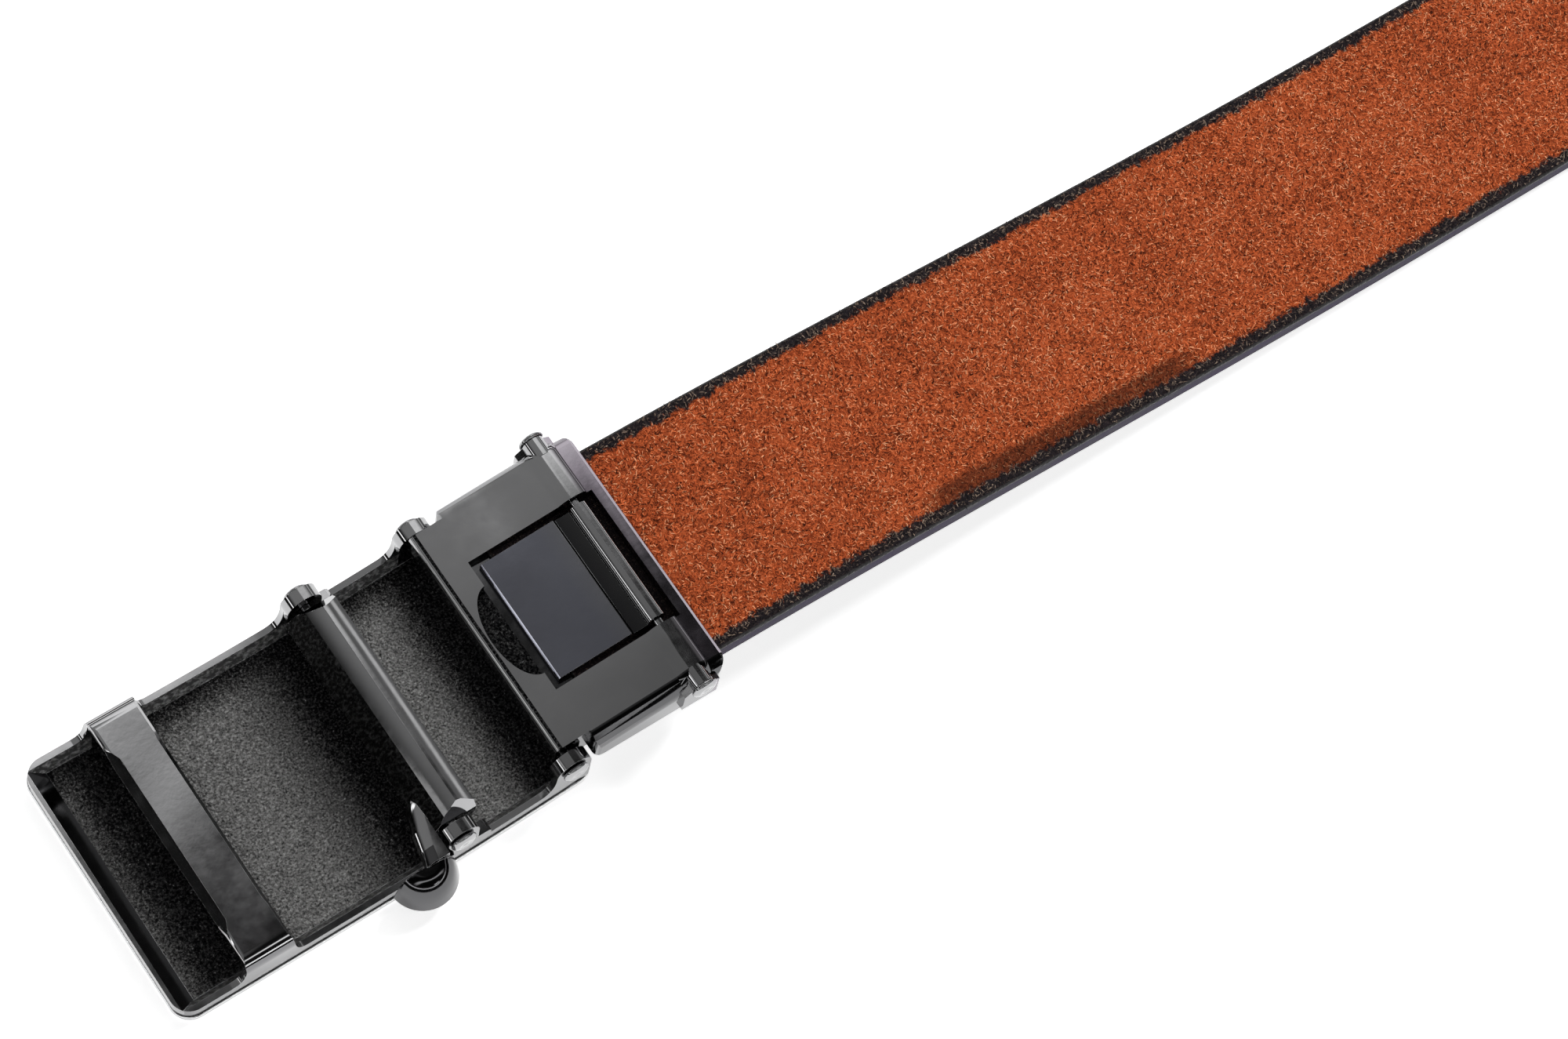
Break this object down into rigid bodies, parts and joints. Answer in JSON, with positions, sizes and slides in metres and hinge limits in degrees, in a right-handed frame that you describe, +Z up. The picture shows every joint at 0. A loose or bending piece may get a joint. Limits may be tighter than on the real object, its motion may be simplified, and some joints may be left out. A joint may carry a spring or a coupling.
{
  "type": "ratchet belt",
  "caption": "Leather belt with a toothed track, a cast tray buckle with loop bar and sprung release pawl, and a hinged clamp with a bite flap.",
  "frame": {"origin": "on the flat front of the face plate, which the buckle lies on, midway across", "axes": "+X along the strap from the buckle to the free end, +Y across it away from the release knob, +Z up from the surface the belt lies on"},
  "size_m": [1.2165, 0.0469, 0.016],
  "materials": {
    "strap_leather": "suede",
    "track_plastic": "matte",
    "gunmetal": "polished"
  },
  "bodies": {
    "strap_side": {"strap": "strap_leather", "ratchet_track": "track_plastic", "clamp_housing": "gunmetal", "hinge_pin": "gunmetal", "flap_pin": "gunmetal"},
    "buckle": {"buckle_frame": "gunmetal", "face_plate": "gunmetal", "pawl_pin": "gunmetal"},
    "pawl_lever": {"pawl": "gunmetal"},
    "bite_flap": {"clamp_flap": "gunmetal"}
  },
  "joints": [
    {"name": "buckle_swing", "type": "hinge", "parent": "strap_side", "child": "buckle", "pos_m": [0.0422, 0, 0.0094], "axis": [0, 1, 0], "range_deg": [0, 80]},
    {"name": "pawl_release", "type": "hinge", "parent": "buckle", "child": "pawl_lever", "pos_m": [0.0246, 0, 0.0084], "axis": [0, -1, 0], "range_deg": [0, 13], "stiffness_Nm_per_rad": 0.03, "springref_deg": -11.46},
    {"name": "flap_lift", "type": "hinge", "parent": "strap_side", "child": "bite_flap", "pos_m": [0.062, 0, 0.0141], "axis": [0, 1, 0], "range_deg": [0, 95]}
  ]
}
